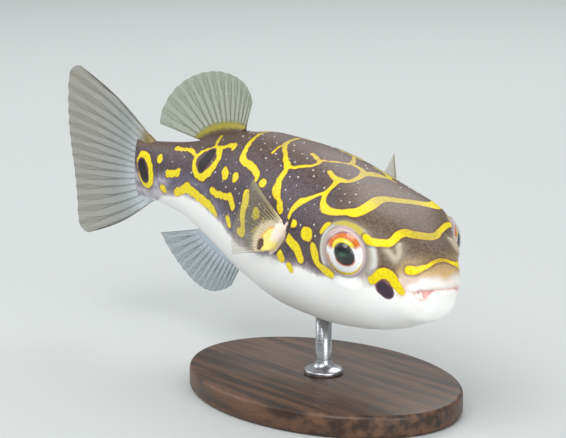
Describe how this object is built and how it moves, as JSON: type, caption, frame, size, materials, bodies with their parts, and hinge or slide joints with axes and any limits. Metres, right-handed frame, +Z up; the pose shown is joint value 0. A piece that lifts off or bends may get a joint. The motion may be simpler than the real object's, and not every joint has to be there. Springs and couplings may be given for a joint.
{
  "type": "figure-eight pufferfish model",
  "caption": "Life-size still model of a small spotted and lined pufferfish, swimming with a gentle bend, held over an oval base by a short rod.",
  "frame": {"origin": "middle of the underside of the stand's oval base", "axes": "+X the way the fish looks, +Y the fish's left, +Z up"},
  "size_m": [0.0671, 0.026, 0.0349],
  "materials": {
    "skin": "satin, wet-looking",
    "fin": "satin, translucent",
    "eye": "gloss",
    "tooth": "gloss",
    "stand_base": "satin",
    "stand_rod": "satin"
  },
  "bodies": {
    "root": {"head": "skin", "trunk": "skin", "tail": "skin", "eye_right": "eye", "eye_left": "eye", "teeth_upper": "tooth", "teeth_lower": "tooth", "pectoral_fin_right": "fin", "pectoral_fin_left": "fin", "dorsal_fin": "fin", "anal_fin": "fin", "caudal_fin": "fin", "stand_base": "stand_base", "stand_rod": "stand_rod"}
  },
  "joints": []
}
